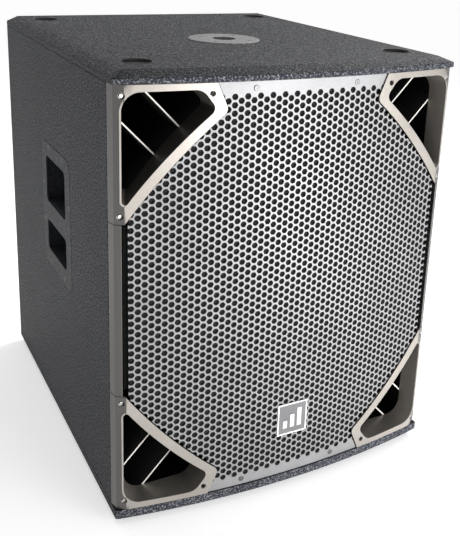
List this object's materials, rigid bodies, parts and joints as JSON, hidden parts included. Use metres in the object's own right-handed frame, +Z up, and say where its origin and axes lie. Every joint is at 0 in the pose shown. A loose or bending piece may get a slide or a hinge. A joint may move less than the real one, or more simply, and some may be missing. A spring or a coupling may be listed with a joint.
{
  "type": "pa speaker cabinet",
  "caption": "Ported bass loudspeaker cabinet with a bowed perforated grille, corner port trims, side bar handles and a pole socket in its top.",
  "frame": {"origin": "on the floor, under the middle of the cabinet's box", "axes": "+X to the right of someone facing the grille, +Y to the back, +Z up; the grille faces -Y"},
  "size_m": [0.53, 0.624, 0.65],
  "materials": {
    "cabinet_paint": "textured paint on plywood",
    "bare_ply": "unfinished",
    "trim_metal_paint": "metallic lacquer",
    "grille_paint": "silver powder coat",
    "foam_black": "open-cell foam",
    "badge_plate": "brushed, with a white border",
    "black_screw": "black oxide",
    "bright_screw": "zinc plated",
    "basket_black": "black powder coat",
    "motor_steel": "passivated",
    "magnet_ferrite": "ground ferrite",
    "cone_paper": "pressed paper pulp",
    "treated_cloth": "doped cloth",
    "coil_copper": "enamelled copper wire",
    "gasket_rubber": "matt",
    "black_plastic": "fine grained",
    "flange_alloy": "cast and blasted",
    "foot_rubber": "moulded"
  },
  "bodies": {
    "cabinet": {"back_panel": "cabinet_paint", "badge": "badge_plate", "baffle": "cabinet_paint", "batten_bottom": "bare_ply", "batten_left": "bare_ply", "batten_right": "bare_ply", "batten_top": "bare_ply", "bottom_panel": "cabinet_paint", "connector_dish": "black_plastic", "corner_trim_bottom_left": "trim_metal_paint", "corner_trim_bottom_right": "trim_metal_paint", "corner_trim_top_left": "trim_metal_paint", "corner_trim_top_right": "trim_metal_paint", "cross_brace": "bare_ply", "dish_screws": "black_screw", "flange_screws": "black_screw", "foot_front_left": "foot_rubber", "foot_front_right": "foot_rubber", "foot_rear_left": "foot_rubber", "foot_rear_right": "foot_rubber", "foot_screws": "bright_screw", "grille": "grille_paint", "grille_foam": "foam_black", "grille_screws": "bright_screw", "handle_left": "black_plastic", "handle_right": "black_plastic", "handle_screws": "black_screw", "left_side_panel": "cabinet_paint", "pole_socket": "flange_alloy", "port_board_bottom_left": "cabinet_paint", "port_board_bottom_right": "cabinet_paint", "port_board_top_left": "cabinet_paint", "port_board_top_right": "cabinet_paint", "port_fins_bottom_left": "trim_metal_paint", "port_fins_bottom_right": "trim_metal_paint", "port_fins_top_left": "trim_metal_paint", "port_fins_top_right": "trim_metal_paint", "right_side_panel": "cabinet_paint", "side_strip_left": "trim_metal_paint", "side_strip_right": "trim_metal_paint", "speaker_socket_1": "black_plastic", "speaker_socket_2": "black_plastic", "speaker_socket_screws": "black_screw", "stacking_cups": "black_plastic", "top_panel": "cabinet_paint", "trim_screws": "bright_screw", "woofer_back_plate": "motor_steel", "woofer_basket": "basket_black", "woofer_bolts": "black_screw", "woofer_gasket": "gasket_rubber", "woofer_magnet": "magnet_ferrite", "woofer_spider": "treated_cloth", "woofer_surround": "treated_cloth", "woofer_top_plate": "motor_steel"},
    "cone_assembly": {"woofer_cone": "cone_paper", "woofer_dust_cap": "cone_paper", "voice_coil": "coil_copper"}
  },
  "joints": [
    {"name": "cone_slide", "type": "slide", "parent": "cabinet", "child": "cone_assembly", "axis": [0, -1, 0], "range_m": [-0.008, 0.008], "stiffness_N_per_m": 8000}
  ]
}
